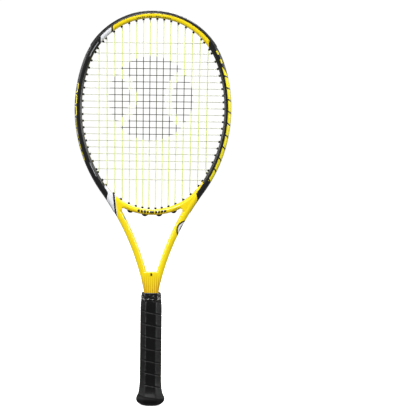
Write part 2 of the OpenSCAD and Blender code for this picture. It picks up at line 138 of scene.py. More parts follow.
def outward(mesh):
    """Turns every face of a closed mesh outwards."""
    sculpt = bmesh.new()
    sculpt.from_mesh(mesh)
    bmesh.ops.recalc_face_normals(sculpt, faces=sculpt.faces)
    sculpt.to_mesh(mesh)
    sculpt.free()


def loft(name, rings, wrap=None, angle=35.0):
    """A closed skin through rings of equal count. wrap holds a UV for each ring and ring point."""
    count = len(rings[0])
    points = [p for ring in rings for p in ring]
    faces = []
    for k in range(len(rings) - 1):
        for m in range(count):
            faces.append((k * count + m, k * count + (m + 1) % count,
                          (k + 1) * count + (m + 1) % count, (k + 1) * count + m))
    last = (len(rings) - 1) * count
    faces.append(tuple(reversed(range(count))))
    faces.append(tuple(range(last, last + count)))
    mesh = bpy.data.meshes.new(name)
    mesh.from_pydata(points, [], faces)
    if wrap:
        layer = mesh.uv_layers.new(name="wrap")
        along, around = wrap
        for face in mesh.polygons:
            places = [divmod(mesh.loops[i].vertex_index, count) for i in face.loop_indices]
            closing = len(places) == 4 and {m for _, m in places} == {0, count - 1}
            for loop, (k, m) in zip(face.loop_indices, places):
                layer.data[loop].uv = (along[k], around[m] + (1 if closing and m == 0 else 0))
    outward(mesh)
    smooth(mesh, angle)
    return put_in_scene(name, mesh)


def apply_modifiers(piece):
    """Leaves the piece a plain mesh."""
    graph = bpy.context.evaluated_depsgraph_get()
    graph.update()
    mesh = bpy.data.meshes.new_from_object(piece.evaluated_get(graph))
    piece.modifiers.clear()
    piece.data = mesh
    return piece


def prism(name, outline, half_depth, bevel):
    """A plate in the plane of the head, with rounded edges."""
    count = len(outline)
    points = [(x, y, z) for y in (-half_depth, half_depth) for x, z in outline]
    faces = [tuple(range(count)), tuple(range(2 * count - 1, count - 1, -1))]
    faces += [(k, (k + 1) % count, count + (k + 1) % count, count + k) for k in range(count)]
    mesh = bpy.data.meshes.new(name)
    mesh.from_pydata(points, [], faces)
    outward(mesh)
    piece = put_in_scene(name, mesh)
    rounding = piece.modifiers.new("rounding", "BEVEL")
    rounding.width = bevel
    rounding.segments = 3
    rounding.limit_method = "ANGLE"
    apply_modifiers(piece)
    smooth(piece.data, 40)
    return piece


# ------------------------------------------------ frame

def tube_section(width, depth, groove):
    """(depth below the outline, offset along Y, place around) of each point of the tube's section.

    The place around is 0 on the outer middle, -0.25 on the front, 0.25 on the back and 0.5 inside.
    """
    round_r = width / 2
    flat = depth / 2 - round_r
    floor = GROOVE_D * groove
    half = [(floor, 0.0, 0.0), (floor, 0.0040, 0.045), (floor * 0.9, GROOVE_W / 2 - 0.00005, 0.055),
            (floor * 0.15, GROOVE_W / 2, 0.07), (0.0, GROOVE_W / 2 + 0.0003, 0.08), (0.0, flat, 0.09)]
    for k in range(1, 21):
        turn = math.pi * k / 20
        half.append((round_r * (1 - math.cos(turn)), flat + round_r * math.sin(turn), 0.09 + 0.016 * k))
    half.append((width, flat * 0.5, 0.455))
    back = half + [(width, 0.0, 0.5)]
    front = [(u, -v, -a) for u, v, a in half[1:]]
    return list(reversed(front)) + back


def frame_stations():
    """(part, angle, length along the outline, groove) down the right side from the crown."""
    stations = [("hoop", t, hoop_s(t), 1.0) for t in span(0, CROWN_A, 1.0)]
    stations += [("hoop", t, hoop_s(t), 1.0) for t in span(CROWN_A, SIDE_A, 0.6)[1:]]
    for t in span(SIDE_A, SHAFT_A, 0.3)[1:]:
        groove = min(1.0, max(0.0, (t - GROOVE_TAIL_A + 0.3) / 0.6))
        stations.append(("shaft", t, shaft_s(t), groove))
    return stations


def tube_ring(part, t, groove, side, width=TUBE_W, depth=BEAM, sink=0.0):
    ring = []
    for u, v, _ in tube_section(width, depth, groove):
        p = spot(part, t, u - sink)
        ring.append((side * p.x, v, p.y))
    return ring


def make_frame_shell():
    """The painted tube, in one loop from the neck, round the crown and back to the neck."""
    right = frame_stations()
    rings, along = [], []
    for part, t, s, groove in reversed(right[1:]):
        rings.append(tube_ring(part, t, groove, -1))
        along.append(-s)
    for part, t, s, groove in right:
        rings.append(tube_ring(part, t, groove, 1))
        along.append(s)
    foot = []
    for t in span(SHAFT_A, NECK_A, 3)[1:] + [NECK_A]:
        down = 0.0 if len(foot) < 4 else neck_c.y - (collar_low.z + 0.002)
        centre = neck_c + NECK_R * Vector((-math.sin(math.radians(t)), -math.cos(math.radians(t))))
        away = Vector((math.sin(math.radians(t)), math.cos(math.radians(t))))
        foot.append([(centre - away * u, v, down) for u, v, _ in tube_section(TUBE_W, BEAM, 0.0)])
    for k, ring in enumerate(foot):
        drop = SHAFT_S + 0.003 * (k + 1)
        rings.insert(0, [(-p.x, v, p.y - down) for p, v, down in ring])
        along.insert(0, -drop)
        rings.append([(p.x, v, p.y - down) for p, v, down in ring])
        along.append(drop)
    around = [a for _, _, a in tube_section(TUBE_W, BEAM, 1.0)]
    return loft("frame_shell", rings, (along, around))


def bridge_width(a):
    """The bridge's width at angle a from its middle: it thins where it runs into the hoop."""
    return BRIDGE_W - 0.004 * max(0.0, abs(a) - BRIDGE_THIN_A) / (BRIDGE_END_A - BRIDGE_THIN_A)


def make_bridge_shell():
    """The bridge closes the bottom of the head, and sinks into the hoop at its ends."""
    rings, along = [], []
    for a in span(-BRIDGE_END_A, BRIDGE_END_A, 1.5):
        groove = 1.0 if abs(a) < 26 else 0.0
        sink = 0.0008 * max(0.0, abs(a) - 40) / 14
        rings.append(tube_ring("bridge", 180 - a, groove, 1, bridge_width(a), BRIDGE_BEAM, -sink))
        along.append(BRIDGE_R * math.radians(a))
    around = [a for _, _, a in tube_section(BRIDGE_W, BRIDGE_BEAM, 1.0)]
    return loft("bridge_shell", rings, (along, around))


def make_neck_web():
    """The flush web between the two shafts, from inside the collar up to the throat."""
    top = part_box("throat_gusset")[1].z
    right = []
    for t in span(SHAFT_A, 112, 0.5):
        p = spot("shaft", t, TUBE_W * 0.5)
        if p.y < top:
            right.append((p.x, p.y))
    foot_x = right[0][0]
    right = [(foot_x - 0.001, collar_low.z + 0.003)] + right
    right.append((spot("shaft", 105.6, TUBE_W * 0.5).x, top))
    outline = right + [(-x, z) for x, z in reversed(right)]
    return prism("neck_web", outline, BEAM / 2 - 0.00012, 0.0006)


def make_throat_corner(side, radius=0.0036):
    """Rounds the sharp corner between the bridge and one shaft, and fills the valley above it."""
    bridge_reach, shaft_reach = BRIDGE_R + radius, SHAFT_R + TUBE_W + radius
    apart = shaft_c - bridge_c
    gap = apart.length
    along = (bridge_reach ** 2 - shaft_reach ** 2 + gap ** 2) / (2 * gap)
    across = math.sqrt(bridge_reach ** 2 - along ** 2)
    unit = apart / gap
    low = Vector((-unit.y, unit.x)) if -unit.y < 0 else Vector((unit.y, -unit.x))
    centre = bridge_c + unit * along + low * across
    on_bridge = (bridge_c - centre).normalized()
    on_shaft = (centre - shaft_c).normalized() * -1
    start = math.atan2(on_bridge.y, on_bridge.x)
    turn = on_bridge.angle_signed(on_shaft)
    arc = []
    for k in range(9):
        angle = start - turn * k / 8
        arc.append(centre + radius * Vector((math.cos(angle), math.sin(angle))))
    sunk_shaft = arc[-1] + on_shaft * 0.005
    corner = bridge_c + unit * (along + 0.002) + low * (across - 0.026)
    sunk_bridge = arc[0] + on_bridge * 0.004
    outline = [(side * p.x, p.y) for p in arc + [sunk_shaft, corner, sunk_bridge]]
    name = "left" if side < 0 else "right"
    plate = prism(f"throat_fillet_{name}", outline, BRIDGE_BEAM / 2 - 0.0006, 0.0008)
    return [plate, make_throat_root(f"throat_root_{name}", side, arc, on_shaft)]


def middle_of_tube(s):
    """The middle of the hoop's or the shaft's tube at that length along the outline."""
    if s > SIDE_S:
        return spot("shaft", SIDE_A - math.degrees((s - SIDE_S) / SHAFT_R), TUBE_W / 2)
    return spot("hoop", CROWN_A + math.degrees((s - CROWN_S) / side_r), TUBE_W / 2)


def make_throat_root(name, side, arc, on_shaft):
    """Fills the valley where the bridge runs into the hoop, between its inner face and the shaft."""
    first = 180 - heading(arc[0] - bridge_c)
    last, hoop_end = 64, hoop_s(118)
    shaft_start = shaft_s(heading(shaft_c - arc[-1]))
    stations = [(first - 10 + 2 * k, None, k / 5) for k in range(5)]
    stations += [(first + 0.6 * k, p, 1.0) for k, p in enumerate(arc)]
    stations.append((first + 5.4, arc[-1] + on_shaft * 0.0025, 1.0))
    for k in range(25):
        f = k / 24
        s = shaft_start + (hoop_end - shaft_start) * f
        stations.append((first + 6 + (last - first - 6) * f, middle_of_tube(s), 1 + f))
    rings = []
    for a, far, growth in stations:
        near = spot("bridge", 180 - a, bridge_width(a) - 0.0006)
        far = far or spot("bridge", 180 - a, 0.0006)
        across = (far - near).length
        half_depth = 0.0099 + 0.00045 * min(1.0, growth) + 0.00015 * max(0.0, growth - 1)
        rounding = 0.0045 + 0.0015 * max(0.0, growth - 1)
        front = []
        for k in range(17):
            f = (1 - math.cos(math.pi * k / 16)) / 2
            edge = min(rounding, across * min(f, 1 - f))
            drop = rounding - math.sqrt(max(0.0, rounding ** 2 - (rounding - edge) ** 2))
            p = near.lerp(far, f)
            front.append((side * p.x, half_depth - drop, p.y))
        rings.append([(x, -y, z) for x, y, z in front] + front[::-1])
    return loft(name, rings, None, 40)


# ------------------------------------------------ strings

MAINS_HALF, CROSSES = 8, 20
BARREL_TIP, BEND_GAP = 0.0028, 0.0008
BEND_D = TUBE_W + BARREL_TIP + BEND_GAP
BRIDGE_BEND = BRIDGE_W + BARREL_TIP + BEND_GAP
LAY = 0.00055
LINK_Y = 0.0015
MAIN_R, CROSS_R = 0.00070, 0.00064
MAIN_SWING, CROSS_SWING = 0.00054, 0.00083
BED_MID_Z = 0.5114


def main_top(i):
    x = (5.9 + 11.4 * i + 0.17 * i * i) * MM
    return ("hoop", math.degrees(math.asin(x / (CROWN_R - BEND_D))), BEND_D)


def main_low(i):
    """The lower hole of a main: through the bridge, then its root and the shaft, then the hoop."""
    x = (5.7 + 10.4 * i + 0.28 * i * i) * MM
    if i == MAINS_HALF - 1:
        return ("hoop", 180 - math.degrees(math.asin((x - side_c.x) / (side_r - BEND_D))), BEND_D)
    t = 180 - math.degrees(math.asin(x / (BRIDGE_R - BRIDGE_BEND)))
    bend = spot("bridge", t, BRIDGE_BEND)
    if i < 4:
        return ("bridge", t, BRIDGE_BEND)
    if i < 6:
        return ("shaft", heading(shaft_c - bend), (shaft_c - bend).length - SHAFT_R)
    return ("hoop", heading(bend - side_c), side_r - (bend - side_c).length)


def cross_z(j):
    s = (CROSSES - 1) / 2 - j
    return BED_MID_Z + math.copysign(11.3 * abs(s) + 10.85 * (abs(s) / 9.5) ** 9, s) * MM


def cross_hole(j):
    z = cross_z(j)
    if z > spot("hoop", CROWN_A, BEND_D).y:
        return ("hoop", math.degrees(math.acos((z - crown_c.y) / (CROWN_R - BEND_D))), BEND_D)
    return ("hoop", math.degrees(math.acos((z - side_c.y) / (side_r - BEND_D))), BEND_D)


def at(hole, depth, side, y=0.0):
    p = spot(hole[0], hole[1], depth)
    return Vector((side * p.x, y, p.y))


def outside_link(a, b, side, y):
    return [at((a[0], a[1] + f * (b[1] - a[1])), LAY, side, y) for f in (0.25, 0.5, 0.75)]


def main_order(k):
    """Side and index of the k-th main from the left."""
    return (-1, MAINS_HALF - 1 - k) if k < MAINS_HALF else (1, k - MAINS_HALF)


def main_x(k, z):
    """Where main k stands at height z, or None where it has already bent into its hole."""
    side, i = main_order(k)
    top, low = at(main_top(i), BEND_D, side), at(main_low(i), main_low(i)[2], side)
    if not low.z + MM < z < top.z - MM:
        return None
    return low.x + (top.x - low.x) * (z - low.z) / (top.z - low.z)


def eased(points, swings, steps=5):
    """Joins points with a wave in Y that swings from one value to the next."""
    path = []
    for k in range(len(points) - 1):
        for m in range(steps):
            f = m / steps
            p = points[k].lerp(points[k + 1], f)
            p.y = swings[k] + (swings[k + 1] - swings[k]) * (1 - math.cos(math.pi * f)) / 2
            path.append(p)
    path.append(points[-1].copy())
    return path


def over(j, k):
    """1 where cross j passes behind main k, and -1 where it passes in front."""
    return 1 if (j + k) % 2 == 0 else -1


def main_run(k):
    side, i = main_order(k)
    top, low = main_top(i), main_low(i)
    a, b = at(top, BEND_D, side), at(low, low[2], side)
    points, swings = [a], [0.0]
    for j in range(CROSSES):
        z = cross_z(j)
        if main_x(k, z) is not None:
            points.append(Vector((main_x(k, z), 0, z)))
            swings.append(-MAIN_SWING * over(j, k))
    run = [at(top, LAY, side)] + eased(points + [b], swings + [0.0]) + [at(low, LAY, side)]
    return run if k % 2 == 0 else run[::-1]


def main_path():
    path = []
    for k in range(2 * MAINS_HALF):
        path += main_run(k)
        side, i = main_order(k)
        if k == MAINS_HALF - 1:
            path += [at(("hoop", f * main_top(0)[1]), LAY, 1, LINK_Y) for f in (-0.5, 0, 0.5)]
        elif k < 2 * MAINS_HALF - 1:
            hole = main_low if k % 2 == 0 else main_top
            path += outside_link(hole(i), hole(main_order(k + 1)[1]), side, LINK_Y)
    return path


def cross_path():
    path = []
    for j in range(CROSSES):
        hole, z = cross_hole(j), cross_z(j)
        points, swings = [at(hole, BEND_D, -1)], [0.0]
        for k in range(2 * MAINS_HALF):
            if main_x(k, z) is not None:
                points.append(Vector((main_x(k, z), 0, z)))
                swings.append(CROSS_SWING * over(j, k))
        run = [at(hole, LAY, -1)] + eased(points + [at(hole, BEND_D, 1)], swings + [0.0])
        run.append(at(hole, LAY, 1))
        path += run if j % 2 == 0 else run[::-1]
        if j < CROSSES - 1:
            path += outside_link(hole, cross_hole(j + 1), 1 if j % 2 == 0 else -1, -LINK_Y)
    return path


def round_corners(path, reach=0.0007):
    """Replaces each sharp corner with a short curve, so that a string bends like a string."""
    out = [path[0]]
    for k in range(1, len(path) - 1):
        into, away = path[k] - path[k - 1], path[k + 1] - path[k]
        if into.length < 1e-7 or away.length < 1e-7:
            continue
        if into.angle(away) < math.radians(25):
            out.append(path[k])
            continue
        a = path[k] - into.normalized() * min(reach, into.length * 0.4)
        b = path[k] + away.normalized() * min(reach, away.length * 0.4)
        out += [a.lerp(path[k], f).lerp(path[k].lerp(b, f), f) for f in (0, 0.25, 0.5, 0.75, 1)]
    return out + [path[-1]]


def cord_tree():
    """Geometry Nodes: a round cord along a curve. Inputs: Radius, Sides, Finish."""
    tree = bpy.data.node_groups.new("cord_along_curve", "GeometryNodeTree")
    face = tree.interface
    face.new_socket("Geometry", in_out="INPUT", socket_type="NodeSocketGeometry")
    face.new_socket("Radius", in_out="INPUT", socket_type="NodeSocketFloat")
    face.new_socket("Sides", in_out="INPUT", socket_type="NodeSocketInt")
    face.new_socket("Finish", in_out="INPUT", socket_type="NodeSocketMaterial")
    face.new_socket("Geometry", in_out="OUTPUT", socket_type="NodeSocketGeometry")
    given = tree.nodes.new("NodeGroupInput")
    result = tree.nodes.new("NodeGroupOutput")
    circle = tree.nodes.new("GeometryNodeCurvePrimitiveCircle")
    sweep = tree.nodes.new("GeometryNodeCurveToMesh")
    sweep.inputs["Fill Caps"].default_value = True
    shade = tree.nodes.new("GeometryNodeSetShadeSmooth")
    realize = tree.nodes.new("GeometryNodeRealizeInstances")
    paint = tree.nodes.new("GeometryNodeSetMaterial")
    link = tree.links.new
    link(given.outputs["Radius"], circle.inputs["Radius"])
    link(given.outputs["Sides"], circle.inputs["Resolution"])
    link(given.outputs["Geometry"], sweep.inputs["Curve"])
    link(circle.outputs["Curve"], sweep.inputs["Profile Curve"])
    link(sweep.outputs["Mesh"], shade.inputs["Geometry"])
    link(shade.outputs["Geometry"], realize.inputs["Geometry"])
    link(realize.outputs["Geometry"], paint.inputs["Geometry"])
    link(given.outputs["Finish"], paint.inputs["Material"])
    link(paint.outputs["Geometry"], result.inputs["Geometry"])
    return tree


def set_input(modifier, tree, name, value):
    """Sets a tree's input by its socket's identifier."""
    for item in tree.interface.items_tree:
        if item.item_type == "SOCKET" and item.in_out == "INPUT" and item.name == name:
            modifier[item.identifier] = value


def make_string(name, path, radius, finish, tree):
    curve = bpy.data.curves.new(name, "CURVE")
    curve.dimensions = "3D"
    line = curve.splines.new("POLY")
    line.points.add(len(path) - 1)
    for point, p in zip(line.points, path):
        point.co = (*p, 1.0)
    source = bpy.data.objects.new(name + "_route", curve)
    bpy.context.scene.collection.objects.link(source)
    sweep = source.modifiers.new("cord", "NODES")
    sweep.node_group = tree
    set_input(sweep, tree, "Radius", radius)
    set_input(sweep, tree, "Sides", 10)
    set_input(sweep, tree, "Finish", finish)
    graph = bpy.context.evaluated_depsgraph_get()
    graph.update()
    mesh = bpy.data.meshes.new_from_object(source.evaluated_get(graph))
    bpy.data.objects.remove(source)
    mesh.name = name
    return put_in_scene(name, mesh)


# ------------------------------------------------ handle

GRIP_A, GRIP_B, GRIP_FA, GRIP_FB = 0.0189, 0.0145, 0.00825, 0.004
SLOPE = math.tan(math.radians(22.5))
WRAP_START, WRAP_PITCH = 9.0, 21.2    # millimetres up the handle


def octagon_ring(a, b, fa, fb, rounding, z, count):
    """An octagon with round corners, as evenly spaced points, starting at the middle of +X."""
    corners = [(a, fb), (fa, b), (-fa, b), (-a, fb), (-a, -fb), (-fa, -b), (fa, -b), (a, -fb)]
    dense = [Vector((a, 0.0))]
    for k in range(8):
        here = Vector(corners[k])
        back = (Vector(corners[k - 1]) - here).normalized() * rounding
        on = (Vector(corners[(k + 1) % 8]) - here).normalized() * rounding
        for f in (0, 0.2, 0.4, 0.6, 0.8, 1):
            dense.append((here + back).lerp(here, f).lerp(here.lerp(here + on, f), f))
    dense.append(Vector((a, 0.0)))
    lengths = [0.0]
    for k in range(1, len(dense)):
        lengths.append(lengths[-1] + (dense[k] - dense[k - 1]).length)
    ring, k = [], 1
    for m in range(count):
        want = lengths[-1] * m / count
        while lengths[k] < want:
            k += 1
        f = (want - lengths[k - 1]) / max(1e-9, lengths[k] - lengths[k - 1])
        p = dense[k - 1].lerp(dense[k], f)
        ring.append(Vector((p.x, p.y, z)))
    return ring


def grip_octagon(extra, z, count, rounding=0.0024):
    return octagon_ring(GRIP_A + extra, GRIP_B + extra, GRIP_FA + SLOPE * extra,
                        GRIP_FB + SLOPE * extra, rounding + 0.25 * max(0.0, extra), z, count)


# How far the grip stands beyond its straight part, at each height, both in millimetres.
FLARE = [(4.3, 1.7), (5.2, 3.0), (7, 4.5), (9, 5.6), (11, 6.0), (13, 5.9), (16, 5.1), (19, 3.6),
         (23, 2.25), (30, 1.15), (37, 0.4), (45, 0.0), (168, -0.1), (178, -0.45), (183.2, -1.0)]


def along_profile(profile, z):
    """Smoothly interpolates a profile of (height, value) pairs."""
    for k in range(1, len(profile)):
        if z <= profile[k][0]:
            (z0, v0), (z1, v1) = profile[k - 1], profile[k]
            before = profile[max(0, k - 2)]
            after = profile[min(len(profile) - 1, k + 1)]
            f = (z - z0) / (z1 - z0)
            slope0 = (v1 - before[1]) / (z1 - before[0]) * (z1 - z0)
            slope1 = (after[1] - v0) / (after[0] - z0) * (z1 - z0)
            return (v0 * (2 * f ** 3 - 3 * f ** 2 + 1) + slope0 * (f ** 3 - 2 * f ** 2 + f)
                    + v1 * (3 * f ** 2 - 2 * f ** 3) + slope1 * (f ** 3 - f ** 2))
    return profile[-1][1]


def make_grip():
    """The leather strip, wound in a spiral whose overlaps leave a soft step and a seam."""
    count = 112
    heights = span(FLARE[0][0], FLARE[-1][0], 0.62)
    rings, along = [], []
    for z in heights:
        extra = along_profile(FLARE, z)
        ring = grip_octagon(extra * MM, z * MM, count)
        shaped = []
        for m, p in enumerate(ring):
            turn = m / count
            phase = (z - WRAP_START) / WRAP_PITCH + turn
            d = (phase - math.floor(phase)) * WRAP_PITCH
            seam = math.exp(-(min(d, WRAP_PITCH - d) / 0.75) ** 2)
            roll = (0.09 * math.exp(-((d - 2.2) / 1.6) ** 2)
                    + 0.05 * math.exp(-((WRAP_PITCH - d - 2.0) / 1.5) ** 2))
            fade = min(1.0, max(0.0, (z - 12) / 12)) * min(1.0, max(0.0, (FLARE[-1][0] - z) / 4))
            lift = (roll - 0.60 * seam - 0.10) * fade * MM
            outward_dir = Vector((p.x, p.y, 0)).normalized()
            shaped.append(p + outward_dir * lift)
        rings.append(shaped)
        along.append(z * MM)
    # The leather's lower and upper ends turn in.
    first = [p * 0.93 + Vector((0, 0, p.z * 0.07)) for p in rings[0]]
    end = [Vector((p.x * 0.93, p.y * 0.93, p.z + 0.0004)) for p in rings[-1]]
    rings = [first] + rings + [end]
    along = [along[0]] + along + [along[-1]]
    around = [m / count for m in range(count)]
    return loft("wrapped_grip", rings, (along, around), 50)


def make_collar():
    """The rubber collar: a stepped sleeve with a rolled lower lip and soft ridges."""
    low, top = collar_low.z, collar_high.z
    height = top - low
    rings = []
    profile = [(0.0, 15.9, 12.0), (0.0, 17.4, 13.3), (0.03, 17.8, 13.65), (0.10, 17.9, 13.7),
               (0.17, 17.6, 13.5), (0.21, 17.2, 13.15), (0.25, 17.3, 13.2), (0.45, 17.2, 13.1),
               (0.48, 17.0, 12.95), (0.51, 17.15, 13.05), (0.74, 17.0, 12.95), (0.77, 16.8, 12.8),
               (0.80, 16.95, 12.9), (0.93, 16.8, 12.8), (0.98, 16.5, 12.5), (1.0, 16.0, 12.1),
               (1.0, 13.6, 11.2)]
    fine = [profile[0]]
    for (f0, a0, b0), (f1, a1, b1) in zip(profile, profile[1:]):
        steps = max(1, round((f1 - f0) * 24))
        fine += [(f0 + (f1 - f0) * k / steps, a0 + (a1 - a0) * k / steps, b0 + (b1 - b0) * k / steps)
                 for k in range(1, steps + 1)]
    for f, a, b in fine:
        ring = octagon_ring(a * MM, b * MM, 9.6 * MM, 6.4 * MM, 0.0026, low + f * height, 120)
        inside = 4 * f * (1 - f)
        for m, p in enumerate(ring):
            turn = math.tau * m / 120
            crease = (math.sin(7 * turn + 9 * f + 1.3 * math.sin(3 * turn))
                      + 0.8 * math.sin(11 * turn - 14 * f + 2 * math.sin(2 * turn + 1)))
            p += Vector((p.x, p.y, 0)).normalized() * crease * inside * 0.0003
        rings.append(ring)
    return loft("rubber_collar", rings, None, 50)


def make_cap():
    """The moulded butt cap: a shallow dome with a seat for its door, up under the leather."""
    rings = []
    seat = door_high.x + 0.0001
    for r, z in ((seat - 0.003, 1.5), (seat, 1.5), (seat, 0.25), (seat + 0.0003, 0.0)):
        rings.append([Vector((r * math.cos(math.tau * m / 96), r * math.sin(math.tau * m / 96), z * MM))
                      for m in range(96)])
    # Half width, half depth, front flat, side flat, rounding and height, all in millimetres.
    outline = [(10.6, 9.6, 6.4, 4.6, 4.0, 0.0), (13.0, 11.2, 7.2, 5.2, 4.0, 0.5),
               (16.4, 13.6, 8.4, 5.8, 4.0, 1.7), (19.0, 15.6, 8.8, 5.4, 3.6, 3.0),
               (20.5, 16.4, 9.0, 4.8, 3.0, 3.95), (20.6, 16.5, 9.0, 4.8, 3.0, 4.15),
               (20.2, 16.1, 8.8, 4.6, 3.0, 4.25), (17.5, 14.0, 8.0, 4.2, 3.0, 4.4),
               (17.5, 14.0, 8.0, 4.2, 3.0, 30.0)]
    for a, b, fa, fb, rounding, z in outline:
        rings.append(octagon_ring(a * MM, b * MM, fa * MM, fb * MM, rounding * MM, z * MM, 96))
    return loft("moulded_butt_cap", rings, None, 40)


# ------------------------------------------------ shader maths

def srgb(r, g, b):
    """A colour given as 0-255 on a screen, as the shader wants it."""
    def one(v):
        v /= 255
        return v / 12.92 if v <= 0.04045 else ((v + 0.055) / 1.055) ** 2.4
    return (one(r), one(g), one(b), 1.0)


class Number:
    """A number in a material. Python's operators on it add the Math nodes."""

    def __init__(self, finish, socket):
        self.finish, self.socket = finish, socket

    def math(self, operation, *others, clamp=False, first=None):
        values = ([self] if first is None else [first, self]) + list(others)
        return self.finish.number("ShaderNodeMath", {"operation": operation, "use_clamp": clamp},
                                  dict(enumerate(values)))

    def __add__(self, other):
        return self.math("ADD", other)

    __radd__ = __add__

    def __sub__(self, other):
        return self.math("SUBTRACT", other)

    def __rsub__(self, other):
        return self.math("SUBTRACT", first=other)

    def __mul__(self, other):
        return self.math("MULTIPLY", other)

    __rmul__ = __mul__

    def __truediv__(self, other):
        return self.math("DIVIDE", other)

    def __abs__(self):
        return self.math("ABSOLUTE")

    def __pow__(self, other):
        return self.math("POWER", other)

    def min(self, other):
        return self.math("MINIMUM", other)

    def max(self, other):
        return self.math("MAXIMUM", other)

    def fract(self):
        return self.math("FRACT")

    def clamp(self):
        return self.math("ADD", 0.0, clamp=True)

    def above(self, edge, soft=0.12):
        """1 where the number is over the edge and 0 where it is under, over a width of soft."""
        return ((self - edge) / soft).math("ADD", 0.5, clamp=True)

    def below(self, edge, soft=0.12):
        return 1 - self.above(edge, soft)

    def between(self, low, high, soft=0.12):
        return self.above(low, soft) * self.below(high, soft)


class Finish:
    """A material with one shader, and the ways its nodes are made."""

    def __init__(self, name, **constants):
        self.material = bpy.data.materials.new(name)
        self.material.use_nodes = True
        self.tree = self.material.node_tree
        self.tree.nodes.clear()
        words = {key.replace("_", " ").title().replace("Ior", "IOR"): v for key, v in constants.items()}
        self.shader = self.node("ShaderNodeBsdfPrincipled", {}, words)
        self.node("ShaderNodeOutputMaterial", {}, {"Surface": self.shader.outputs[0]})

    def node(self, kind, settings=None, inputs=None):
        """Any node: its settings are set first, then each input is given a value or a link."""
        made = self.tree.nodes.new(kind)
        for key, value in (settings or {}).items():
            setattr(made, key, value)
        for key, value in (inputs or {}).items():
            self.feed(made.inputs[key], value)
        return made

    def feed(self, socket, value):
        if isinstance(value, Number):
            value = value.socket
        if isinstance(value, bpy.types.NodeSocket):
            self.tree.links.new(value, socket)
        else:
            socket.default_value = value

    def number(self, kind, settings=None, inputs=None, output=0):
        return Number(self, self.node(kind, settings, inputs).outputs[output])

    def place(self):
        """Object coordinates: the vector in metres, and X, Y and Z in millimetres."""
        where = self.node("ShaderNodeTexCoord").outputs["Object"]
        axes = self.node("ShaderNodeSeparateXYZ", {}, {0: where})
        return where, [Number(self, axes.outputs[k]) * 1000 for k in range(3)]

    def wrap(self):
        """The piece's own map: length along it in millimetres, and the place around it."""
        uv = self.node("ShaderNodeUVMap", {"uv_map": "wrap"}).outputs[0]
        axes = self.node("ShaderNodeSeparateXYZ", {}, {0: uv})
        return Number(self, axes.outputs[0]) * 1000, Number(self, axes.outputs[1])

    def noise(self, vector, scale, detail=2.0, roughness=0.5):
        return self.number("ShaderNodeTexNoise", {}, {"Vector": vector, "Scale": scale, "Detail": detail,
                                                      "Roughness": roughness})

    def cells(self, vector, scale):
        return self.number("ShaderNodeTexVoronoi", {}, {"Vector": vector, "Scale": scale})

    def mix(self, factor, a, b):
        """Colour a where factor is 0 and b where it is 1."""
        made = self.node("ShaderNodeMix", {"data_type": "RGBA"}, {0: factor, 6: a, 7: b})
        return made.outputs[2]

    def point(self, x, y, z=0.0):
        return self.node("ShaderNodeCombineXYZ", {}, {0: x, 1: y, 2: z}).outputs[0]

    def set(self, **values):
        for key, value in values.items():
            self.feed(self.shader.inputs[key.replace("_", " ").title()], value)
        return self

    def bump(self, height, distance=0.0002, strength=1.0):
        bumped = self.node("ShaderNodeBump", {},
                           {"Height": height, "Distance": distance, "Strength": strength})
        self.feed(self.shader.inputs["Normal"], bumped.outputs[0])
        return self


def rounded_box(dx, dy, half_x, half_y, radius):
    """Signed distance from a rounded rectangle, for Numbers measured from its centre."""
    qx, qy = abs(dx) - (half_x - radius), abs(dy) - (half_y - radius)
    outside = (qx.max(0) ** 2 + qy.max(0) ** 2) ** 0.5
    return outside + qx.max(qy).min(0) - radius


# ------------------------------------------------ finishes

BLACK = srgb(17, 17, 18)
YELLOW = srgb(255, 228, 0)
LEMON = srgb(255, 240, 24)
WHITE = srgb(235, 237, 242)
TUBE_TURN = 58.0    # millimetres around the tube's section

# The colour blocks change along upright lines across the head, in millimetres from its middle.
CROWN_LEFT, CROWN_RIGHT, LOW_RIGHT = -70.0, 95.0, 88.0
PATCH_LEFT, PATCH_RIGHT, LOW_PATCH_LEFT = -91.0, -73.0, -82.0
MIDDLE_Z = 500.0

# Places of marks along the outline from the top of the crown, and their pitches, in millimetres.
BLOCKS_FROM, BLOCKS_TO, BLOCK_PITCH = 165, 374, 21.0
LOZENGE_PITCH, LOZENGE_HALF = 20.0, 7.6
ROUNDEL_S = 468
BARS_FROM, BARS_TO, BAR_PITCH = 494, 581, 11.5
STICKER_S = 456

# The round stencil on the string bed.
STENCIL_X, STENCIL_Z, STENCIL_R = -4.0, 534.0, 73.0


def paint_blocks(f, where, x, y, z):
    """Yellow crown and throat, black limbs, and white patches where they meet.

    The back, seen from behind, has the front's layout, so its sides change places.
    Returns the colour, and 1 where it is yellow.
    """
    x = x * (1 - 2 * y.above(0, 0.02))
    upper = z.above(MIDDLE_Z)
    slant = (365.7 - z) * 0.113 - 66.2
    high_yellow = x.between(CROWN_LEFT, CROWN_RIGHT)
    low_yellow = x.above(slant + 2.3) * x.below(LOW_RIGHT)
    yellow = low_yellow + (high_yellow - low_yellow) * upper
    high_white = x.between(PATCH_LEFT, PATCH_RIGHT)
    low_white = x.above(LOW_PATCH_LEFT) * (x.below(slant - 1.7) + x.between(slant + 1.5, slant + 2.3))
    white = low_white + (high_white - low_white) * upper
    deep = f.mix(f.noise(where, 900.0) * 0.35, YELLOW, srgb(255, 218, 0))
    return f.mix(white, f.mix(yellow, BLACK, deep), WHITE), yellow


def neck_hatching(f, colour, x, y, z):
    """Fine upright hatching that thickens down the neck and towards its sides, front and back."""
    lines = (x / 3.4 + 0.5).fract()
    thick = ((228 - z) * 0.036).clamp() * (0.4 + 0.6 * (abs(x) / 14).clamp())
    hatch = lines.below(thick, 0.25) * thick.above(0.03, 0.03) * abs(y).above(6.5, 2)
    return f.mix(hatch * 0.6, colour, srgb(200, 116, 8))


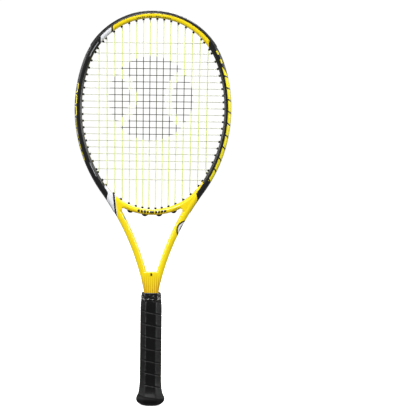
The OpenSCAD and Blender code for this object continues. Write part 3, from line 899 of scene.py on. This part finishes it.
def coat_texture(f, where):
    """The slight ripple that a sprayed clear coat has."""
    return f.bump(f.noise(where, 260.0, 2.0) * 0.6 + f.noise(where, 1500.0, 1.0) * 0.06, 0.00006, 0.6)


def frame_paint():
    f = Finish("frame_paint", roughness=0.27, coat_roughness=0.08, specular_ior_level=0.5)
    where, (x, y, z) = f.place()
    s, a = f.wrap()
    w = a * TUBE_TURN
    colour, yellow = paint_blocks(f, where, x, y, z)
    run, around = abs(s), 0.5 - abs(0.5 - abs(a))
    reach_w = around * TUBE_TURN
    right = s.above(0)
    left = 1 - right

    # The right limb carries bold slanted blocks on both shoulders of its groove.
    outer_edge = 0.083 + ((BLOCKS_FROM + 25 - run) / 25).clamp() * 0.152
    shoulder = (around - outer_edge).above(0, 0.004) * around.below(0.236, 0.004)
    slanted = ((run + reach_w * 0.6) / BLOCK_PITCH).fract()
    blocks = slanted.above(0.14, 0.01) * shoulder * run.between(BLOCKS_FROM, BLOCKS_TO)
    dashes = around.between(0.180, 0.222, 0.003) * (run.between(108, 115) + run.between(136, 143)
                                                    + run.between(152, 160))
    colour = f.mix((blocks + dashes).min(1) * right, colour, LEMON)

    # The left limb has rows of outlined lozenges beside its groove and on its inner face.
    cell = ((run + 3) / LOZENGE_PITCH).fract() * LOZENGE_PITCH - LOZENGE_PITCH / 2
    high = abs(rounded_box(cell, reach_w - 7.9, LOZENGE_HALF, 3.2, 2.0)).below(0.75, 0.15)
    low = abs(rounded_box(cell, reach_w - 6.9, LOZENGE_HALF, 2.2, 1.6)).below(0.6, 0.15)
    outer = high * run.between(196, 256) + low * run.between(256, 336)
    inner = abs(rounded_box(cell, TUBE_TURN / 2 - reach_w, LOZENGE_HALF, 5.3, 2.6)).below(0.7, 0.15)
    inner = inner * run.between(143, 343)
    rows = (outer + inner).min(1) * left
    colour = f.mix(rows, colour, LEMON)

    # Thin pale streaks on the left limb's inner shoulder, on the back and the front: a painted highlight
    # that stands in for the reflection of the lights.
    painted_highlight_streak = around.between(0.272, 0.29, 0.004) * (run.between(117, 147, 2) + run.between(342, 369, 2))
    colour = f.mix(painted_highlight_streak * left * 0.8, colour, srgb(190, 192, 196))

    # The black of the limbs tapers down the outside of the shafts.
    taper = (((421 - run) / 17).clamp() ** 1.6) * 14 + 4.7
    tail = reach_w.below(taper) * run.between(380, 441, 0.5) * z.below(MIDDLE_Z)
    colour = f.mix(tail, colour, BLACK)

    # A roundel on the outside of the right shaft, and slanted bars below it.
    dial = ((run - ROUNDEL_S) ** 2 + w ** 2) ** 0.5
    colour = f.mix(dial.below(16.6) * right, colour, BLACK)
    colour = f.mix(dial.below(13.9) * right, colour, srgb(252, 252, 253))
    colour = f.mix((dial.below(3.2) + dial.between(7.8, 10.4)) * right, colour, BLACK)
    bars = ((run - w * 0.35) / BAR_PITCH).fract().between(0.14, 0.50, 0.02)
    bars = bars * reach_w.below(4.6) * run.between(BARS_FROM, BARS_TO)
    colour = f.mix(bars * right, colour, BLACK)

    # A row of fine ticks across the middle of the crown.
    dash = around.between(0.285, 0.333, 0.004) * (run / 3.3).fract().between(0.2, 0.8, 0.06)
    dash = dash * (run.between(3.3, 13.2) + run.between(16.5, 33)) * z.above(MIDDLE_Z)
    colour = f.mix(dash * 0.85, colour, BLACK)

    # A small round sticker inside the left shaft, a mark below it and a thin line.
    sticker = ((run - STICKER_S) ** 2 + (reach_w - 23.2) ** 2) ** 0.5
    colour = f.mix(sticker.below(4.0) * left * y.below(0), colour, srgb(52, 150, 158))
    colour = f.mix(sticker.between(2.2, 2.7) * left * y.below(0), colour, WHITE)
    line = reach_w.between(22.4, 23.1) * z.between(262, 292)
    mark = reach_w.between(21.6, 24.4) * z.between(304, 308)
    colour = f.mix((line + mark) * left * y.below(0), colour, srgb(70, 66, 40))

    colour = neck_hatching(f, colour, x, y, z)
    f.set(base_color=colour, coat_weight=0.35 + 0.15 * yellow,
          roughness=0.25 + f.noise(where, 60.0, 3.0) * 0.08)
    return coat_texture(f, where).material


def throat_paint():
    """The bridge, the neck's web and the rounded corners: yellow, with a few small printed marks."""
    f = Finish("throat_paint", coat_roughness=0.08, specular_ior_level=0.5)
    where, (x, y, z) = f.place()
    colour, _ = paint_blocks(f, where, x, y, z)
    on_bridge = z.between(329, 350)
    row = ((abs(x) + 0.8) / 5.2).fract().between(0.16, 0.88, 0.02) * abs(x).below(24.6)
    high = ((x ** 2 + (z - 443.7) ** 2) ** 0.5).between(103.9, 108.7, 0.1)
    colour = f.mix(row * high * on_bridge * abs(y).above(6.5), colour, BLACK)
    chip = rounded_box(x, z - 229, 1.5, 2.6, 0.6).below(0) * abs(y).above(9)
    colour = f.mix(chip, colour, srgb(46, 44, 30))
    colour = neck_hatching(f, colour, x, y, z)
    f.set(base_color=colour, coat_weight=0.5, roughness=0.25 + f.noise(where, 60.0, 3.0) * 0.08)
    return coat_texture(f, where).material


def string_finish(name, colour, darker):
    """A twisted monofilament, with a round black stencil across the bed."""
    f = Finish(name, specular_ior_level=0.3)
    where, (x, _, z) = f.place()
    tone = f.mix(f.noise(where, 420.0, 3.0), colour, darker)
    dx, dz = x - STENCIL_X, z - STENCIL_Z
    r = (dx ** 2 + dz ** 2) ** 0.5
    # A ball, whose two curved seams are left clear.
    seam = (((abs(dx) - 84) ** 2 + dz ** 2) ** 0.5).between(48, 60, 0.8)
    ink = r.below(STENCIL_R, 0.8) * (1 - seam)
    ink = ink * (0.86 + 0.14 * f.noise(where, 700.0, 2.0))
    f.set(base_color=f.mix(ink, tone, srgb(3, 3, 4)), roughness=0.34 + 0.3 * ink)
    twist = ((x * 0.7 + z * 0.7) / 1.1).fract()
    return f.bump(abs(twist - 0.5) * 0.5 + f.noise(where, 2600.0, 1.0) * 0.3, 0.00004, 0.5).material


def grip_leather():
    f = Finish("grip_leather", specular_ior_level=0.28, coat_roughness=0.16)
    where, (_, _, z) = f.place()
    _, around = f.wrap()
    phase = ((z - WRAP_START) / WRAP_PITCH + around).fract()
    near = phase.min(1 - phase) * WRAP_PITCH
    pores = f.cells(where, 1500.0)
    wrinkle = f.noise(where, 330.0, 4.0, 0.6)
    worn = f.noise(where, 45.0, 3.0)
    tone = f.mix(wrinkle * 0.7 + pores * 0.3, srgb(2, 2, 3), srgb(14, 14, 15))
    # Painted shade: the leather is coloured darker in the groove along each seam.
    tone = f.mix(near.below(0.9, 0.8) * 0.75, tone, srgb(3, 3, 3))
    flare = z.below(26, 16)
    f.set(base_color=tone, roughness=0.24 + worn * 0.14 + near.below(1.4, 1.2) * 0.25 + flare * 0.22,
          coat_weight=(0.05 + 0.2 * worn) * (1 - flare))
    height = wrinkle * 0.55 + pores * 0.35 - near.below(0.8, 0.9) * 0.9
    return f.bump(height, 0.0003, 0.7).material


def moulded(name, dark, light, rough=0.42, grain=900.0, coat=0.0, depth=0.00008):
    """A moulded plastic, rubber or metal: two tones, a fine grain and an uneven shine."""
    f = Finish(name, coat_weight=coat, specular_ior_level=0.5)
    where, _ = f.place()
    fine = f.noise(where, grain, 3.0)
    broad = f.noise(where, 55.0, 3.0)
    f.set(base_color=f.mix(fine * 0.5 + broad * 0.5, dark, light), roughness=rough + broad * 0.14 - 0.05)
    return f.bump(fine, depth, 0.5).material


def metal(name, tone, rough):
    f = Finish(name, metallic=1.0)
    _, (x, y, z) = f.place()
    drawn = f.noise(f.point(x * 0.02, y * 0.02, z * 2.0), 30.0, 2.0)
    f.set(base_color=f.mix(drawn * 0.4, tone, srgb(120, 120, 124)), roughness=rough + drawn * 0.12)
    return f.bump(drawn, 0.00003, 0.4).material


def foam_finish():
    f = Finish("handle_foam", specular_ior_level=0.3)
    where, _ = f.place()
    bubbles = f.cells(where, 1100.0)
    f.set(base_color=f.mix(bubbles, srgb(200, 182, 140), srgb(226, 211, 172)),
          roughness=0.8 + bubbles * 0.1)
    return f.bump(bubbles, 0.0002, 0.6).material


def nylon_finish():
    """Grommet strips and bumper: black nylon, scuffed where the crown meets the ground."""
    f = Finish("nylon", specular_ior_level=0.5)
    where, (x, y, z) = f.place()
    fine = f.noise(where, 1300.0, 3.0)
    scuff = f.noise(f.point(x * 0.03, y * 0.03, z * 0.004), 14.0, 4.0).above(0.62, 0.12)
    scuff = scuff * z.above(676, 6) * 0.4
    tone = f.mix(fine, srgb(10, 10, 11), srgb(22, 22, 23))
    f.set(base_color=f.mix(scuff, tone, srgb(66, 66, 68)), roughness=0.38 + fine * 0.1 + scuff * 0.3)
    return f.bump(fine + scuff, 0.00006, 0.5).material


def door_finish():
    f = Finish("door_plastic", specular_ior_level=0.5, coat_weight=0.2)
    where, (x, y, z) = f.place()
    r = (x ** 2 + y ** 2) ** 0.5
    ring = r.between(5.7, 6.3, 0.15) * z.below(0.4)
    tone = f.mix(f.noise(where, 500.0, 3.0) * 0.5, YELLOW, srgb(240, 190, 0))
    f.set(base_color=f.mix(ring, tone, srgb(120, 92, 0)), roughness=0.36 + 0.1 * f.noise(where, 80.0, 2.0))
    return f.bump(f.noise(where, 1100.0, 2.0) - ring * 2, 0.0001, 0.5).material


# ------------------------------------------------ putting it together

def finish_piece(piece, material, slot, *stands_for):
    piece.data.materials.clear()
    piece.data.materials.append(material)
    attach(piece, ROOT)
    if stands_for:
        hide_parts(*stands_for)


paint, throat = frame_paint(), throat_paint()
finish_piece(make_frame_shell(), paint, "frame_paint", "frame_hairpin")
finish_piece(make_bridge_shell(), throat, "frame_paint", "throat_bridge")
finish_piece(make_neck_web(), throat, "frame_paint", "throat_gusset")
for side in (-1, 1):
    for piece in make_throat_corner(side):
        finish_piece(piece, throat, "frame_paint")

lime = string_finish("main_string_lime", srgb(228, 245, 62), srgb(214, 234, 44))
silver = string_finish("cross_string_silver", srgb(214, 218, 190), srgb(190, 196, 168))
cord = cord_tree()
finish_piece(make_string("strung_mains", round_corners(main_path()), MAIN_R, lime, cord),
             lime, "main_string", "main_string")
finish_piece(make_string("strung_crosses", round_corners(cross_path()), CROSS_R, silver, cord),
             silver, "cross_string", "cross_string")

finish_piece(make_grip(), grip_leather(), "grip_leather", "base_grip")
finish_piece(make_collar(),
             moulded("collar_rubber", srgb(2, 2, 3), srgb(12, 12, 13), 0.20, 230.0, 0.35, 0.0016),
             "collar_rubber", "grip_collar")
finish_piece(make_cap(), moulded("cap_plastic", srgb(10, 10, 11), srgb(24, 24, 25), 0.40),
             "cap_plastic", "butt_cap")

nylon = nylon_finish()
foam = foam_finish()
capsule = moulded("capsule_plastic", srgb(120, 122, 126), srgb(176, 178, 182))
bead = metal("bead_metal", srgb(150, 150, 154), 0.35)
CAD_FINISHES = {
    "bumper_guard": nylon, "grommet_strip_left": nylon, "grommet_strip_right": nylon,
    "grommet_strip_throat": nylon, "bridge_foam_core": foam, "pallet_front": foam, "pallet_back": foam,
    "tube_end_plugs": foam, "capsule_cups": capsule, "capsule_lids": capsule,
    "bead_charge_top_left": bead, "bead_charge_top_right": bead,
    "bead_charge_low_left": bead, "bead_charge_low_right": bead,
    "balance_slugs": moulded("slug_silicone", srgb(96, 104, 110), srgb(130, 138, 144), 0.5, 400.0),
    "finishing_tape": moulded("tape_vinyl", srgb(14, 14, 15), srgb(30, 30, 31), 0.6, 1600.0),
    "butt_cap_staples": metal("staple_steel", srgb(190, 190, 192), 0.25),
    "butt_cap_door": door_finish(),
}
for node, finish in CAD_FINISHES.items():
    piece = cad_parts[node]
    for k in range(len(piece.material_slots)):
        piece.material_slots[k].material = finish
    if not piece.material_slots:
        piece.data.materials.append(finish)


# ------------------------------------------------ floor, light and camera

def studio_floor():
    """A pale floor that curves up into the backdrop, all round."""
    flat_r, bend_r, wall_top, sides = 5.2, 1.4, 4.0, 64
    profile = [(flat_r, 0.0)]
    for a in span(15, 90, 15):
        turn = math.radians(a)
        profile.append((flat_r + 2 * bend_r * math.sin(turn), bend_r * (1 - math.cos(turn))))
    profile.append((flat_r + 2 * bend_r, wall_top))
    points = [(0.0, 0.0, 0.0)]
    for r, z in profile:
        points += [(r * math.cos(math.tau * k / sides), r * math.sin(math.tau * k / sides), z)
                   for k in range(sides)]
    faces = [(0, 1 + k, 1 + (k + 1) % sides) for k in range(sides)]
    for m in range(len(profile) - 1):
        a, b = 1 + m * sides, 1 + (m + 1) * sides
        faces += [(a + k, b + k, b + (k + 1) % sides, a + (k + 1) % sides) for k in range(sides)]
    mesh = bpy.data.meshes.new("studio_floor")
    mesh.from_pydata(points, [], faces)
    smooth(mesh, 60)
    floor = put_in_scene("studio_floor", mesh)
    f = Finish("studio_white", specular_ior_level=0.1, emission_strength=0.8)
    where, _ = f.place()
    tone = f.mix(f.noise(where, 3.0, 2.0), (0.93, 0.93, 0.93, 1), (0.96, 0.96, 0.96, 1))
    f.set(base_color=tone, roughness=0.9, emission_color=tone)
    floor.data.materials.append(f.material)
    floor.visible_glossy = floor.visible_diffuse = False


def soft_light(name, place, size, power, target=(0, 0, 0.34)):
    light = bpy.data.lights.new(name, "AREA")
    light.shape = "RECTANGLE"
    light.size, light.size_y = size
    light.energy = power
    lamp = bpy.data.objects.new(name, light)
    lamp.location = place
    lamp.rotation_euler = (Vector(target) - Vector(place)).to_track_quat("-Z", "Y").to_euler()
    bpy.context.scene.collection.objects.link(lamp)


studio_floor()
soft_light("front_softbox", (-0.6, -2.5, 3.0), (2.0, 1.0), 138)
soft_light("back_softbox", (0.6, 2.5, 3.0), (2.0, 1.0), 130)
soft_light("left_strip", (-2.6, -0.9, 0.9), (0.4, 2.4), 23)
soft_light("right_strip", (2.6, -0.7, 0.9), (0.4, 2.4), 30)
soft_light("left_back_strip", (-2.4, 1.4, 0.9), (0.5, 2.0), 16)
soft_light("right_back_strip", (2.4, 1.4, 0.9), (0.5, 2.0), 16)

world = bpy.data.worlds.new("studio_air")
world.use_nodes = True
world.node_tree.nodes["Background"].inputs["Color"].default_value = (1, 1, 1, 1)
world.node_tree.nodes["Background"].inputs["Strength"].default_value = 0.2
bpy.context.scene.world = world
bpy.context.scene.view_settings.view_transform = "Standard"

# The camera looks at the front from just above the middle of the racket.
AIM = Vector((0.0969, 0.0, 0.3451))
DISTANCE, ELEVATION, ROLL = 5.0, math.radians(3.6), math.radians(0.63)
view = bpy.data.cameras.new("product_view")
view.lens, view.sensor_width = 249.7, 36.0
view.clip_end = 60.0
camera = bpy.data.objects.new("product_view", view)
bpy.context.scene.collection.objects.link(camera)
camera.location = AIM + DISTANCE * Vector((0, -math.cos(ELEVATION), math.sin(ELEVATION)))
look = (AIM - camera.location).to_track_quat("-Z", "Y").to_matrix().to_4x4()
camera.rotation_euler = (look @ Matrix.Rotation(ROLL, 4, "Z")).to_euler()
bpy.context.scene.camera = camera
